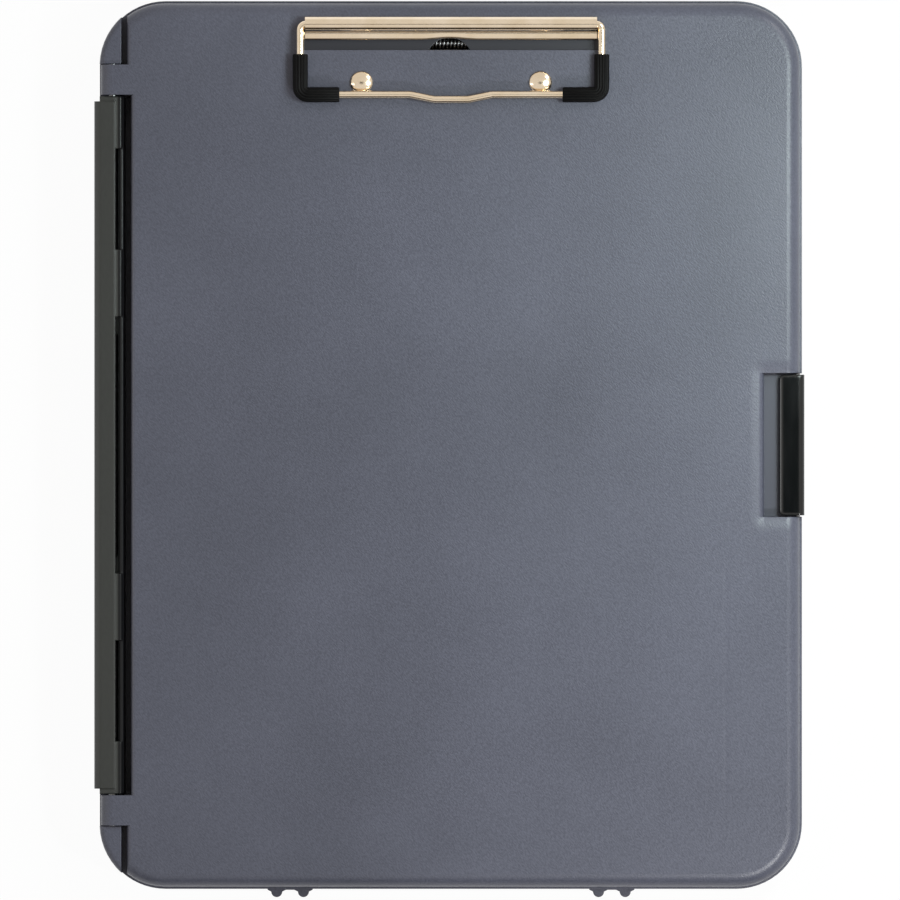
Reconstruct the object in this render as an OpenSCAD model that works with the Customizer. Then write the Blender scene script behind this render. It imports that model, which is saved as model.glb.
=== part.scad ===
// Storage clipboard box: a shallow lidded box for papers, with a sprung wire clip on its lid.
// It lies on its back. +X is right, +Y is towards the clip, +Z is up.
// The origin is the centre of the flat underside.

/* [Body] */
// Width of the tray, left to right
body_w = 268; // [230:1:300]
// Length of the tray, bottom edge to clip edge
body_l = 339; // [310:1:400]
// Height of the lid's top over the table
body_h = 28; // [26:0.5:36]
// Corner radius of the outline
corner_r = 25; // [20:1:32]
// Height of the tray's rim
tray_h = 16; // [12:0.5:17]
// Thickness of the tray's walls
wall = 2.2; // [1.6:0.1:3]
// Thickness of the tray's floor
floor_t = 2.2; // [1.6:0.1:3]
// Radius of the tray's bottom edge
heel_r = 4; // [2:0.5:6]
// Radius where the tray's floor meets its walls inside
inner_r = 2.5; // [1:0.5:4]

/* [Lid] */
// Thickness of the lid's panel
lid_t = 2.5; // [2:0.1:3.5]
// Thickness of the lid's skirt
skirt_t = 2; // [1.4:0.1:2.6]
// How far the lid's outline lies inside the tray's
lid_inset = 1.1; // [0.6:0.1:1.6]
// Radius of the lid's top edge
lid_edge_r = 5; // [3:0.5:7]
// Radius of the lid's edge beside the hinge
lid_hinge_edge_r = 1.6; // [0.8:0.1:2]
// Gap between the closed lid and the tray's rim
seat_gap = 0.1; // [0.05:0.05:0.3]
// Height of the ribs under the lid
rib_h = 3; // [1.5:0.5:4]
// Thickness of the ribs under the lid
rib_t = 1.2; // [0.8:0.1:1.8]
// Distance of the cross rib from the lid's middle, towards the bottom edge
rib_cross_in = 104.2; // [80:0.2:130]
// Distance from the body's hinge side to the cross rib's end
rib_cross_from = 23; // [18:1:40]
// Distance of the long rib from the body's latch side
rib_long_in = 29.2; // [20:0.2:40]
// Length of the long rib below the cross rib
rib_long_down = 33; // [10:1:45]
// Length of the long rib above the cross rib
rib_long_up = 58.5; // [20:0.5:90]
// How far the locating tabs reach below the rim
tab_dip = 4; // [2:0.5:6]
// Width of a locating tab
tab_w = 14; // [8:1:20]
// Distance of the locating tabs from the body's bottom edge
tab_in = 11; // [8:0.5:14]

/* [Bottom nubs] */
// Distance between the two pairs of nubs, centre to centre
nub_pair_gap = 123; // [90:1:150]
// Distance between the two nubs of a pair
nub_gap = 10.2; // [8:0.2:14]
// Radius of a nub's tip
nub_r = 2.1; // [1.5:0.1:2.8]
// How far a nub stands out
nub_out = 3.3; // [2.5:0.1:4]
// Width of a nub's foot
nub_w = 7; // [5:0.5:8]
// How far the web between two nubs stands out
nub_web = 0.5; // [0.3:0.1:1]
// Length of a nub along the box's height
nub_h = 8; // [5:0.5:9]

/* [Hinge] */
// Distance of the hinge axis from the tray's left side
hinge_in = 5; // [4.6:0.1:6]
// Radius of the lid's hinge knuckles, which is also the depth of the axis under the lid's top
knuckle_r = 4.5; // [4:0.1:5]
// Diameter of the hinge rod
rod_d = 3; // [2.4:0.1:3.4]
// Radial clearance of the rod in the lid's knuckles
rod_play = 0.08; // [0.04:0.01:0.1]
// Distance from the body's end to the knuckle's outer face
knuckle_end_in = 24.5; // [24:0.5:30]
// Length of a knuckle along the rod
knuckle_l = 11.5; // [8:0.5:16]
// How deep the rod goes into each corner post
rod_in_post = 5; // [3:0.5:8]
// Gap beside the knuckles
knuckle_gap = 0.35; // [0.2:0.05:0.6]
// Distance from the tray's left side to the lid between the knuckles
lid_in = 12.1; // [12:0.1:14]
// How much nearer to the left the lid's edge lies beside the corner posts
lid_ear = 1.5; // [0.5:0.1:1.5]
// Width of a corner post
post_w = 8.3; // [6:0.1:8.3]
// How far the corner posts stay under the lid's top
post_drop = 1.5; // [1:0.1:3]
// Radius of the corner posts' outer top edge
post_edge_r = 2.5; // [2:0.1:3]

/* [Hinge cover] */
// How far the cover stands out past the tray
cover_proud = 2; // [1.2:0.1:2]
// Thickness of the cover's outer web
web_t = 1.75; // [1:0.05:1.75]
// How far the cover's flange stays under the lid's top
flange_drop = 1.3; // [1:0.1:1.5]
// Width of the cover's top flange
flange_w = 8; // [7.6:0.1:8.2]
// Radius of the cover's outer edge
cover_edge_r = 2.6; // [2:0.1:3]
// Whole width of the cover
cover_w = 11.4; // [11:0.1:11.6]
// Thickness of the cover's inner leg
leg_t = 1.6; // [1.2:0.1:2]
// Depth of the saddle under the hinge axis
saddle_depth = 2.6; // [2.2:0.1:3]
// Radius of the bead along the cover's inner side
bead_r = 1.15; // [0.8:0.05:1.2]
// How far the outer web reaches down from the hinge axis
web_drop = 16.5; // [8:0.5:19]
// How far the cover's shelf lies over the hinge axis
shelf_rise = 0.7; // [0.4:0.1:1]
// Gap between the cover and the lid's knuckles
cover_gap = 0.5; // [0.3:0.1:1]
// How far the cover's last stretch at each end lies under its flange
end_drop = 0.4; // [0.2:0.1:0.8]
// How far the snap tabs stay under the flange
tab_drop = 0.5; // [0.2:0.1:0.8]
// Distance from the cover's inner side to the snap tabs
tab_back = 0.7; // [0.3:0.1:1]
// Radius of the snap tabs' upper edge
tab_edge_r = 1; // [0.6:0.1:1.2]
// Width of the slots beside the bead
slot_w = 0.9; // [0.6:0.1:1.1]
// Where the snap tabs start, from the middle
tab_from = 49; // [40:1:60]
// Where the snap tabs end, from the middle
tab_to = 74.5; // [65:0.5:85]
// Width of the bridge inside each snap tab
bridge_w = 6.7; // [4:0.1:9]
// Where the outer slots end, from the middle
slot_to = 113; // [95:1:120]
// How much shorter the flange is at each end
flange_cut = 2; // [1:0.5:4]

/* [Latch] */
// Length of the latch
latch_l = 53.6; // [40:0.2:70]
// Gap at the latch's ends
latch_gap = 0.6; // [0.4:0.1:1]
// How far the latch's top reaches in from its outer face
latch_reach = 9.7; // [8.5:0.1:11]
// How far the latch stands out past the tray
latch_proud = 0.7; // [0:0.1:1.2]
// Thickness of the latch's walls
latch_t = 2.2; // [1.6:0.1:2.6]
// Radius of the latch's outer top edge
latch_edge_r = 1.9; // [1:0.1:2.5]
// Radius of the latch's inner lip
lip_r = 1.4; // [1:0.1:1.8]
// How far the latch's lip hooks down
lip_drop = 1.1; // [0.6:0.1:1.6]
// How far the latch's top stays under the lid's top
latch_drop = 0.8; // [0.4:0.1:1.5]
// Height of the latch pin over the table
pin_z = 6.5; // [6:0.1:8]
// Diameter of the latch pin
pin_d = 2; // [1.6:0.1:2.4]
// Radial clearance of the pin in the latch
pin_play = 0.06; // [0.03:0.01:0.1]
// Radius of the latch's barrel round its pin
barrel_r = 2.3; // [2:0.1:2.4]
// How far the barrel stays inside the latch's outer face
barrel_in = 0.2; // [0.1:0.05:0.4]
// Radius of the fillet in the latch's corner
latch_fillet_r = 0.6; // [0.3:0.1:1]
// Width of the finger recess behind the latch
recess_w = 5.7; // [5:0.1:8]
// Gap between the latch's lip and the lid's ledge
hook_gap = 0.3; // [0.2:0.05:0.5]
// Thickness of the lid's ledge under the latch
ledge_t = 2; // [1.6:0.1:2.6]
// Radius of the recess's rim
recess_edge_r = 2; // [1:0.2:2.4]

/* [Clip] */
// Length of the clip's roll
clip_w = 111.2; // [90:0.2:130]
// Thickness of the clip's sheet
sheet_t = 1.1; // [0.8:0.1:1.2]
// Diameter of the bail's wire
wire_d = 3; // [2.6:0.1:3.2]
// Radial clearance of the wire in the roll
wire_play = 0.35; // [0.3:0.05:0.5]
// Distance of the roll's axis from the body's clip edge
roll_in = 9.35; // [8.5:0.05:12]
// Gap between the roll and the lid's top
roll_lift = 0.05; // [0.02:0.01:0.3]
// Gap between the roll's free edge and the sheet beside it
roll_slit = 0.7; // [0.4:0.1:1]
// Gap between the front lip and the lid's top
lip_lift = 0.25; // [0.1:0.05:0.5]
// How far the lip is drawn back at its middle, over the spring
lip_notch = 0.6; // [0.3:0.1:1]
// Radius of the curve that draws the lip back
lip_notch_r = 68; // [40:1:120]
// Gap at the ends and the back of the slot that the clip comes up through
slot_gap = 0.6; // [0.4:0.1:1]
// How far the lip stands out in front of the roll
lip_out = 2.9; // [2:0.1:4]
// Height of the front lip, a folded hem
hem_h = 1.9; // [1.6:0.1:2.4]
// Width of the well in the lid in front of the lip
well_w = 3.8; // [3:0.1:6]
// Thickness of the lid under the well
well_floor_t = 0.9; // [0.7:0.1:1.4]
// Width of the opening over the spring, along the well's front side
spring_hole_w = 15.6; // [10:0.2:16]
// How far that opening reaches back from the well's front side
spring_hole_l = 4.7; // [3:0.1:5]
// Distance of the bail's long run from the roll's axis
bail_reach = 26.75; // [24:0.25:34]
// Radius of the bail's bends
bend_r = 2.2; // [2:0.1:2.4]
// How far the bail's arms stand out past the roll's ends
arm_out = 1.8; // [1.7:0.1:2.4]
// How deep the bail's ends go into the roll
axle_in = 42; // [20:1:46]
// How far the bail's middle dips forward
dip = 1.8; // [1:0.1:2.5]
// Radius of the bends beside the dip
dip_bend_r = 6; // [3:0.5:8]
// Half of the dip's straight middle
dip_flat = 6.5; // [4:0.5:9]
// Length of the dip's slope
dip_slope = 9; // [6:0.5:12]
// Diameter of the sleeves
sleeve_d = 5.8; // [5.2:0.1:5.9]
// Length of a sleeve along the bail's arm, from the corner
sleeve_arm = 15.4; // [10:0.2:18]
// Length of a sleeve along the bail's long run, from the corner
sleeve_run = 14.9; // [10:0.1:20]
// Radius of a sleeve's grooves
groove_r = 0.35; // [0.2:0.05:0.5]
// Clearance between a sleeve and its wire
sleeve_play = 0.03; // [0.02:0.01:0.06]
// Number of grooves round a sleeve
sleeve_grooves = 14; // [8:1:18]

/* [Rivets] */
// Distance between the rivets
rivet_gap = 68.2; // [50:0.2:80]
// Distance of the rivets from the roll's axis
rivet_in = 22.05; // [18:0.05:23]
// Diameter of a rivet's head
rivet_d = 8.8; // [7:0.1:10]
// Height of a rivet's head
rivet_h = 1.9; // [1.4:0.1:1.9]
// Diameter of a rivet's shank
shank_d = 4; // [3:0.1:5]
// Height of a rivet's formed tail
tail_h = 1; // [0.6:0.1:1.4]
// How far the formed tail stands out round the shank
tail_rim = 1.4; // [0.8:0.1:2]
// Margin of the clip's plate in front of the rivets
plate_rim = 1; // [0.5:0.1:3]
// Clearance round a rivet's shank
shank_play = 0.05; // [0.02:0.01:0.1]

/* [Clip spring] */
// Number of turns of the torsion spring
spring_turns = 10; // [6:1:10]
// Diameter of the spring's wire
spring_wire = 0.9; // [0.6:0.05:0.95]
// Radius of the spring's turns, to the wire's centre
spring_r = 2.05; // [1.9:0.05:2.2]
// Distance between two turns
spring_pitch = 1.4; // [1.38:0.02:1.5]
// Length of the spring's legs
spring_leg = 3.2; // [2:0.1:3.4]
// Depth of the spring's axis under the clip's plate
spring_drop = 1.5; // [1.2:0.1:1.8]
// Radius of the ears that hold the spring's pin
ear_r = 1.7; // [1.5:0.1:2]
// How far the spring's pin stands out past its ears
pin_out = 0.5; // [0.2:0.1:1]
// How far the spring's middle lies left of the clip's middle
spring_left = 0.6; // [0:0.1:1]
// Diameter of the spring's pin
spring_pin_d = 2; // [1.6:0.1:2.2]

/* [Hidden] */
$fn = 48;
over = 1; // a cut runs this far past what it cuts
lap = 0.1; // joined forms reach this far into each other
end_gap = 0.2; // clearance at the end of a rod or beside a seated piece
press_step = 0.02; // a pressed rod is this much thinner than its bore, in radius
left = -body_w / 2;
right = body_w / 2;
end_y = body_l / 2;
// hinge
axis_x = left + hinge_in;
axis_z = body_h - knuckle_r;
knuckle_to = end_y - knuckle_end_in;
knuckle_from = knuckle_to - knuckle_l;
cover_end = knuckle_from - cover_gap;
post_from = knuckle_to + knuckle_gap;
post_right = left + post_w;
rod_end = post_from + rod_in_post;
lid_left = left + lid_in;
ear_left = lid_left - lid_ear;
cover_left = left - cover_proud;
cover_right = cover_left + cover_w;
saddle_z = axis_z - saddle_depth;
flange_z = body_h - flange_drop;
shelf_z = axis_z + shelf_rise;
bead_x = cover_right - bead_r;
// lid
lid_w = body_w - 2 * lid_inset;
lid_l = body_l - 2 * lid_inset;
lid_r = corner_r - lid_inset;
lid_low = tray_h + seat_gap;
panel_z = body_h - lid_t;
// latch
latch_out = right + latch_proud;
latch_in = latch_out - latch_reach;
latch_end = latch_l / 2;
bay_end = latch_end + latch_gap;
pin_x = latch_out - barrel_r - barrel_in;
latch_top = body_h - latch_drop;
ledge_z = latch_top - lip_r * 2 - lip_drop - hook_gap;
ledge_out = pin_x - barrel_r - latch_gap;
bay_in = ledge_out + end_gap;
recess_in = latch_in - recess_w;
// clip
wire_r = wire_d / 2;
roll_ri = wire_r + wire_play;
roll_ro = roll_ri + sheet_t;
roll_y = end_y - roll_in;
roll_z = body_h + roll_lift + roll_ro;
roll_front = roll_y - roll_ro;
hem_front = roll_front - lip_out;
well_front = hem_front - well_w;
well_end = clip_w / 2 + slot_gap;
slot_back = roll_front + sheet_t + slot_gap / 2;
plate_top = panel_z;
plate_low = plate_top - sheet_t;
rivet_y = roll_y - rivet_in;
plate_front = rivet_y - rivet_d / 2 - plate_rim;
shank_r = shank_d / 2;
bail_x = clip_w / 2 + arm_out;
bail_y = roll_y - bail_reach;
spring_y = well_front + spring_r + spring_wire / 2 + end_gap;
spring_z = plate_low - spring_drop;
spring_len = (spring_turns + 0.5) * spring_pitch;
window_half = spring_len / 2 + spring_wire;
bend_lap = 0.2;
bend_step = 0.02;

// Section of a plate's rim: reach from the corner's centre, with rounded outer edges
module rim_section(reach, low, high, top_r, low_r) {
  square_h = high - low;
  translate([0, low + low_r]) square([reach, square_h - top_r - low_r]);
  translate([0, low + low_r]) square([reach - top_r, square_h - low_r]);
  if (top_r > 0) intersection() {
    translate([reach - top_r, high - top_r]) circle(top_r);
    translate([0, low]) square([reach, square_h]);
  }
  if (low_r > 0) {
    intersection() {
      translate([reach - low_r, low + low_r]) circle(low_r);
      translate([0, low]) square([reach, square_h]);
    }
    translate([0, low]) square([reach - low_r, low_r]);
  }
}

// Plate of the given outline with rounded corners and rounded top and bottom edges
module slab(w, l, low, high, r, top_r = 0, low_r = 0) {
  translate([-w / 2 + r, -l / 2 + r, low]) cube([w - 2 * r, l - 2 * r, high - low]);
  for (k = [0:3]) {
    across = k % 2 == 0 ? w : l;
    along = k % 2 == 0 ? l : w;
    rotate(90 * k) {
      translate([across / 2 - r, along / 2 - r, 0]) rotate([90, 0, 0])
        linear_extrude(along - 2 * r) rim_section(r, low, high, top_r, low_r);
      translate([across / 2 - r, along / 2 - r, 0]) rotate_extrude(angle = 90, $fn = 96)
        rim_section(r, low, high, top_r, low_r);
    }
  }
}

// Box between two corners
module block(low, high) {
  translate(low) cube(high - low);
}

// Bar along Y with the given section in X and Z
module bar_y(from, to) {
  translate([0, to, 0]) rotate([90, 0, 0]) linear_extrude(to - from) children();
}

// Cylinder along Y
module rod_y(x, z, r, from, to) {
  translate([x, to, z]) rotate([90, 0, 0]) cylinder(h = to - from, r = r);
}

// Cylinder along X
module rod_x(y, z, r, from, to) {
  translate([from, y, z]) rotate([0, 90, 0]) cylinder(h = to - from, r = r);
}

// Cutter that rounds the edge along Y at (x, z); side says where the solid lies in X
module edge_cutter_y(x, z, r, side, from, to) {
  difference() {
    bar_y(from, to) translate([side > 0 ? x - over : x - r, z - r]) square([r + over, r + over]);
    rod_y(x + side * r, z - r, r, from - over, to + over);
  }
}

// The tray: rounded shell, hinge well on the left, latch bay on the right, nubs at the bottom
module base_tray() {
  color("#5a5b66") {
    difference() {
      union() {
        slab(body_w, body_l, 0, tray_h, corner_r, 0, heel_r);
        for (side = [-1, 1]) mirror([0, side < 0 ? 1 : 0, 0]) corner_post();
        block([left, -cover_end, heel_r], [left + wall, cover_end, saddle_z - seat_gap]);
      }
      // storage compartment
      intersection() {
        slab(body_w - 2 * wall, body_l - 2 * wall, floor_t, body_h, corner_r - wall, 0, inner_r);
        block([lid_left + wall, -end_y, 0], [right, end_y, body_h + over]);
        difference() {
          block([left, -end_y, 0], [right, end_y, body_h + over]);
          block([bay_in - wall, -bay_end - wall, -over], [right, bay_end + wall, body_h + 2 * over]);
        }
      }
      // hinge well behind the cover
      block([left + wall, -cover_end - end_gap, floor_t], [lid_left, cover_end + end_gap, body_h]);
      // bay of the latch
      block([bay_in, -bay_end, floor_t], [right + over, bay_end, body_h]);
      rod_y(pin_x, pin_z, pin_d / 2, -bay_end - wall - over, bay_end + wall + over);
      rod_y(axis_x, axis_z, rod_d / 2, -rod_end, rod_end);
    }
    for (side = [-1, 1], one = [-1, 1])
      translate([side * nub_pair_gap / 2 + one * nub_gap / 2, -end_y, 0]) nub();
    for (side = [-1, 1])
      block([side * nub_pair_gap / 2 - nub_gap / 2, -end_y - nub_web, heel_r],
            [side * nub_pair_gap / 2 + nub_gap / 2, -end_y + wall, heel_r + nub_h]);
  }
}

// Post at the tray's hinge corner, which takes the end of the hinge rod
module corner_post() {
  intersection() {
    slab(body_w, body_l, 0, body_h - post_drop, corner_r, post_edge_r, heel_r);
    union() {
      block([left, post_from, 0], [post_right, end_y, body_h]);
      block([left, knuckle_from - knuckle_gap, 0],
            [post_right, post_from, axis_z - knuckle_r - knuckle_gap]);
    }
  }
}

// Rounded nub on the bottom edge
module nub() {
  translate([0, 0, heel_r]) linear_extrude(nub_h) {
    translate([0, -nub_out + nub_r]) circle(nub_r);
    polygon([[-nub_w / 2, wall], [-nub_w / 2, -nub_web], [-nub_r, -nub_out + nub_r],
      [nub_r, -nub_out + nub_r], [nub_w / 2, -nub_web], [nub_w / 2, wall]]);
  }
}

// Cover over the tray's hinge side: outer web, top flange, saddle for the rod and inner bead
module hinge_cover() {
  tab_top = flange_z - tab_drop;
  tab_left = cover_left + flange_w - tab_edge_r;
  tab_right = cover_right - tab_back - tab_edge_r;
  web_in = left + seat_gap;
  web_w = cover_left + flange_w - web_in;
  color("#1c211f") difference() {
    union() {
      bar_y(-cover_end, cover_end) {
        translate([web_in, saddle_z]) square([cover_right - web_in, shelf_z - saddle_z]);
        translate([bead_x, shelf_z - lap]) circle(bead_r);
        translate([cover_right - leg_t, floor_t + seat_gap])
          square([leg_t, shelf_z - floor_t - seat_gap]);
        translate([web_in, saddle_z]) square([web_w, flange_z - saddle_z - end_drop]);
      }
      bar_y(-cover_end + flange_cut, cover_end - flange_cut) {
        intersection() {
          translate([cover_left + cover_edge_r, flange_z - cover_edge_r]) circle(cover_edge_r);
          translate([cover_left, axis_z - 2 * cover_edge_r])
            square([flange_w, flange_z - axis_z + 2 * cover_edge_r]);
        }
        translate([cover_left, axis_z - web_drop])
          square([web_t, web_drop + flange_z - axis_z - cover_edge_r]);
        translate([cover_left + cover_edge_r, axis_z + rod_d / 2])
          square([flange_w - cover_edge_r, flange_z - axis_z - rod_d / 2]);
        translate([web_in, saddle_z]) square([web_w, flange_z - saddle_z - end_drop]);
      }
      // snap tabs, and the solid ends past the slots
      for (side = [-1, 1], range = [[tab_from, tab_to], [slot_to, cover_end]])
        mirror([0, side < 0 ? 1 : 0, 0]) bar_y(range[0], range[1]) {
          translate([tab_left, shelf_z]) square([tab_right - tab_left, tab_top - shelf_z]);
          translate([tab_right, shelf_z]) square([tab_edge_r, tab_top - tab_edge_r - shelf_z]);
          translate([tab_right, tab_top - tab_edge_r]) circle(tab_edge_r);
        }
    }
    rod_y(axis_x, axis_z, rod_d / 2 + rod_play, -cover_end - over, cover_end + over);
    for (range = [[-slot_to, -tab_to], [-tab_from + bridge_w, tab_from - bridge_w], [tab_to, slot_to]])
      block([bead_x - bead_r - slot_w, range[0], saddle_z - over],
            [bead_x - bead_r, range[1], body_h]);
  }
}

// Steel rod on which the lid turns
module hinge_rod() {
  color("#8d8f92") rod_y(axis_x, axis_z, rod_d / 2 - press_step, -rod_end + end_gap, rod_end - end_gap);
}

// Latch: an outer leaf on a barrel, a flat top and a rounded lip that hooks over the lid
module latch() {
  color("#15171a") difference() {
    intersection() {
      bar_y(-latch_end, latch_end) latch_section();
      latch_outline();
    }
    rod_y(pin_x, pin_z, pin_d / 2 + pin_play, -latch_end - over, latch_end + over);
  }
}

// Section of the latch in X and Z
module latch_section() {
  translate([pin_x, pin_z]) circle(barrel_r);
  translate([latch_out - latch_t, pin_z]) square([latch_t, latch_top - pin_z - latch_edge_r]);
  intersection() {
    translate([latch_out - latch_edge_r, latch_top - latch_edge_r]) circle(latch_edge_r);
    translate([latch_out - latch_t, pin_z]) square([latch_t, latch_top - pin_z]);
  }
  translate([latch_in + lip_r, latch_top - latch_t])
    square([latch_reach - lip_r - latch_edge_r, latch_t]);
  translate([latch_out - latch_t - latch_fillet_r, latch_top - latch_t - latch_fillet_r]) difference() {
    square(latch_fillet_r + lap);
    circle(latch_fillet_r);
  }
  for (drop = [0, lip_drop]) translate([latch_in + lip_r, latch_top - lip_r - drop]) circle(lip_r);
  translate([latch_in, latch_top - lip_r - lip_drop]) square([2 * lip_r, lip_drop]);
}

// Outline of the latch from above, with rounded inner corners
module latch_outline() {
  translate([0, 0, pin_z - barrel_r - over]) linear_extrude(body_h) {
    for (side = [-1, 1])
      translate([latch_in + latch_edge_r, side * (latch_end - latch_edge_r)]) circle(latch_edge_r);
    translate([latch_in, -latch_end + latch_edge_r])
      square([latch_reach, latch_l - 2 * latch_edge_r]);
    translate([latch_in + latch_edge_r, -latch_end]) square([latch_reach, latch_l]);
  }
}

// Pin of the latch, pressed into the bay's side walls
module latch_pin() {
  color("#9a9ca0")
    rod_y(pin_x, pin_z, pin_d / 2 - press_step, -bay_end - wall + end_gap, bay_end + wall - end_gap);
}

// The lid: rounded shell with hinge arms, latch recess, clip slot and ribs
module lid() {
  color("#5c5e6a") difference() {
    union() {
      lid_shell();
      for (side = [-1, 1]) mirror([0, side < 0 ? 1 : 0, 0]) hinge_arm();
      latch_ledge();
      lid_ribs();
    }
    rod_y(axis_x, axis_z, rod_d / 2 + rod_play, -rod_end, rod_end);
    // open the bay of the latch, above its ledge
    block([recess_in, -bay_end, ledge_z], [right, bay_end, body_h + over]);
    block([ledge_out, -bay_end, 0], [right, bay_end, body_h]);
    recess_rim_cut();
    // well in front of the clip, slot for its sheet and opening over the spring
    block([-well_end, well_front, panel_z + well_floor_t], [well_end, slot_back, body_h + over]);
    block([-well_end, roll_front - end_gap, panel_z - over], [well_end, slot_back, body_h]);
    spring_hole();
    for (side = [-1, 1])
      translate([side * rivet_gap / 2, rivet_y, panel_z - over])
        cylinder(h = lid_t + 2 * over, r = shank_r + shank_play);
  }
}

// Shell of the lid: panel and skirt, with the straight hinge side
module lid_shell() {
  difference() {
    intersection() {
      slab(lid_w, lid_l, lid_low, body_h, lid_r, lid_edge_r);
      union() {
        block([lid_left, -end_y, 0], [right, end_y, body_h + over]);
        for (side = [-1, 1]) mirror([0, side < 0 ? 1 : 0, 0])
          block([ear_left, knuckle_to, 0], [0, end_y, body_h + over]);
      }
    }
    // hollow of the lid
    intersection() {
      slab(lid_w - 2 * skirt_t, lid_l - 2 * skirt_t, lid_low - over, panel_z, lid_r - skirt_t,
        lid_edge_r - skirt_t);
      block([lid_left + skirt_t, -end_y, 0], [right, end_y, body_h]);
    }
    edge_cutter_y(lid_left, body_h, lid_hinge_edge_r, 1, -knuckle_from, knuckle_from);
    for (side = [-1, 1]) mirror([0, side < 0 ? 1 : 0, 0])
      edge_cutter_y(ear_left, body_h, lid_hinge_edge_r, 1, knuckle_to, end_y);
  }
}

// Arm of the lid with the knuckle at its end
module hinge_arm() {
  bar_y(knuckle_from, knuckle_to) {
    translate([axis_x, axis_z]) circle(knuckle_r);
    translate([axis_x, axis_z - knuckle_r / 2])
      square([lid_left + skirt_t - axis_x, knuckle_r * 1.5]);
  }
}

// Ledge under the latch, with the walls that close the compartment round it
module latch_ledge() {
  block([recess_in - skirt_t, -bay_end - skirt_t, ledge_z - ledge_t],
        [ledge_out, bay_end + skirt_t, panel_z + lap]);
  block([ledge_out - skirt_t, -bay_end - skirt_t, lid_low],
        [ledge_out, bay_end + skirt_t, ledge_z]);
  for (side = [-1, 1]) mirror([0, side < 0 ? 1 : 0, 0])
    block([ledge_out - skirt_t, bay_end, lid_low],
          [right - lid_inset - skirt_t / 2, bay_end + skirt_t, panel_z]);
}

// Rounds the rim of the finger recess along its inner side
module recess_rim_cut() {
  difference() {
    block([recess_in - recess_edge_r, -bay_end, body_h - recess_edge_r],
          [recess_in + over, bay_end, body_h + over]);
    rod_y(recess_in - recess_edge_r, body_h - recess_edge_r, recess_edge_r,
      -bay_end - over, bay_end + over);
  }
}

// Opening in the well over the spring: flat in front, curved towards the roll
module spring_hole() {
  r = (pow(spring_hole_w / 2, 2) + pow(spring_hole_l, 2)) / (2 * spring_hole_l);
  intersection() {
    translate([-spring_left, well_front + spring_hole_l - r, panel_z - over])
      cylinder(h = lid_t, r = r);
    block([-spring_left - r, well_front, panel_z - over], [-spring_left + r, slot_back, body_h]);
  }
}

// Ribs and locating tabs under the lid
module lid_ribs() {
  cross_y = -rib_cross_in;
  long_x = right - rib_long_in;
  rib_low = panel_z - rib_h;
  block([long_x - rib_t / 2, cross_y - rib_long_down, rib_low],
        [long_x + rib_t / 2, cross_y + rib_long_up, panel_z + lap]);
  block([left + rib_cross_from, cross_y - rib_t / 2, rib_low],
        [long_x, cross_y + rib_t / 2, panel_z + lap]);
  for (side = [-1, 1])
    block([side * nub_pair_gap / 2 - tab_w / 2, -end_y + tab_in - rib_t / 2, tray_h - tab_dip],
          [side * nub_pair_gap / 2 + tab_w / 2, -end_y + tab_in + rib_t / 2, panel_z + lap]);
}

// Clip base: a plate under the lid whose edge comes up through the slot and rolls round the bail
module clip_base() {
  color("#cbb799") difference() {
    union() {
      rotate([90, 0, 90]) translate([0, 0, -clip_w / 2]) linear_extrude(clip_w) clip_section();
      for (side = [-1, 1])
        translate([-spring_left, 0, 0]) mirror([side < 0 ? 1 : 0, 0, 0])
          block([window_half, spring_y - ear_r, spring_z - ear_r],
                [window_half + sheet_t, spring_y + ear_r, plate_top]);
    }
    // window over the spring
    block([-spring_left - window_half, well_front + lap, plate_low - over],
          [-spring_left + window_half, roll_front - end_gap, plate_top + over]);
    // the front lip is drawn back a little over the spring
    translate([-spring_left, hem_front + lip_notch - lip_notch_r, body_h])
      cylinder(h = 2 * hem_h, r = lip_notch_r, $fn = 360);
    rod_x(spring_y, spring_z, spring_pin_d / 2, -clip_w / 2, clip_w / 2);
    for (side = [-1, 1])
      translate([side * rivet_gap / 2, rivet_y, plate_low - over])
        cylinder(h = sheet_t + 2 * over, r = shank_r + shank_play);
  }
}

// Section of the clip base in Y and Z
module clip_section() {
  hem_z = body_h + lip_lift;
  // plate and web
  translate([plate_front, plate_low]) square([roll_front + sheet_t - plate_front, sheet_t]);
  translate([roll_front, plate_low]) square([sheet_t, roll_z - plate_low]);
  // roll, open for the last stretch beside the web
  difference() {
    translate([roll_y, roll_z]) circle(roll_ro);
    translate([roll_y, roll_z]) circle(roll_ri);
    translate([roll_front + sheet_t, roll_z - roll_ro - over]) square([roll_slit, roll_ro]);
  }
  // hem
  translate([hem_front + hem_h / 2, hem_z])
    square([roll_front + sheet_t / 2 - hem_front - hem_h / 2, hem_h]);
  translate([hem_front + hem_h / 2, hem_z + hem_h / 2]) circle(hem_h / 2);
}

// Domed rivet: head on the lid, shank through lid and plate, and formed tail
module rivet(side) {
  dome_r = (pow(rivet_d / 2, 2) + pow(rivet_h, 2)) / (2 * rivet_h);
  color("#d9c9ae") translate([side * rivet_gap / 2, rivet_y, 0]) {
    intersection() {
      translate([0, 0, body_h + rivet_h - dome_r]) sphere(dome_r, $fn = 96);
      translate([0, 0, body_h]) cylinder(h = rivet_h + over, r = rivet_d / 2);
    }
    translate([0, 0, plate_low - lap]) cylinder(h = body_h - plate_low + 2 * lap, r = shank_r);
    translate([0, 0, plate_low - tail_h]) cylinder(h = tail_h, r = shank_r + tail_rim);
  }
}

module rivet_left() {
  rivet(-1);
}

module rivet_right() {
  rivet(1);
}

// Pin in the clip base's ears that carries the spring
module spring_pin() {
  half = window_half + sheet_t + pin_out;
  color("#9a9ca0")
    rod_x(spring_y, spring_z, spring_pin_d / 2 - press_step, -spring_left - half, -spring_left + half);
}

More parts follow.
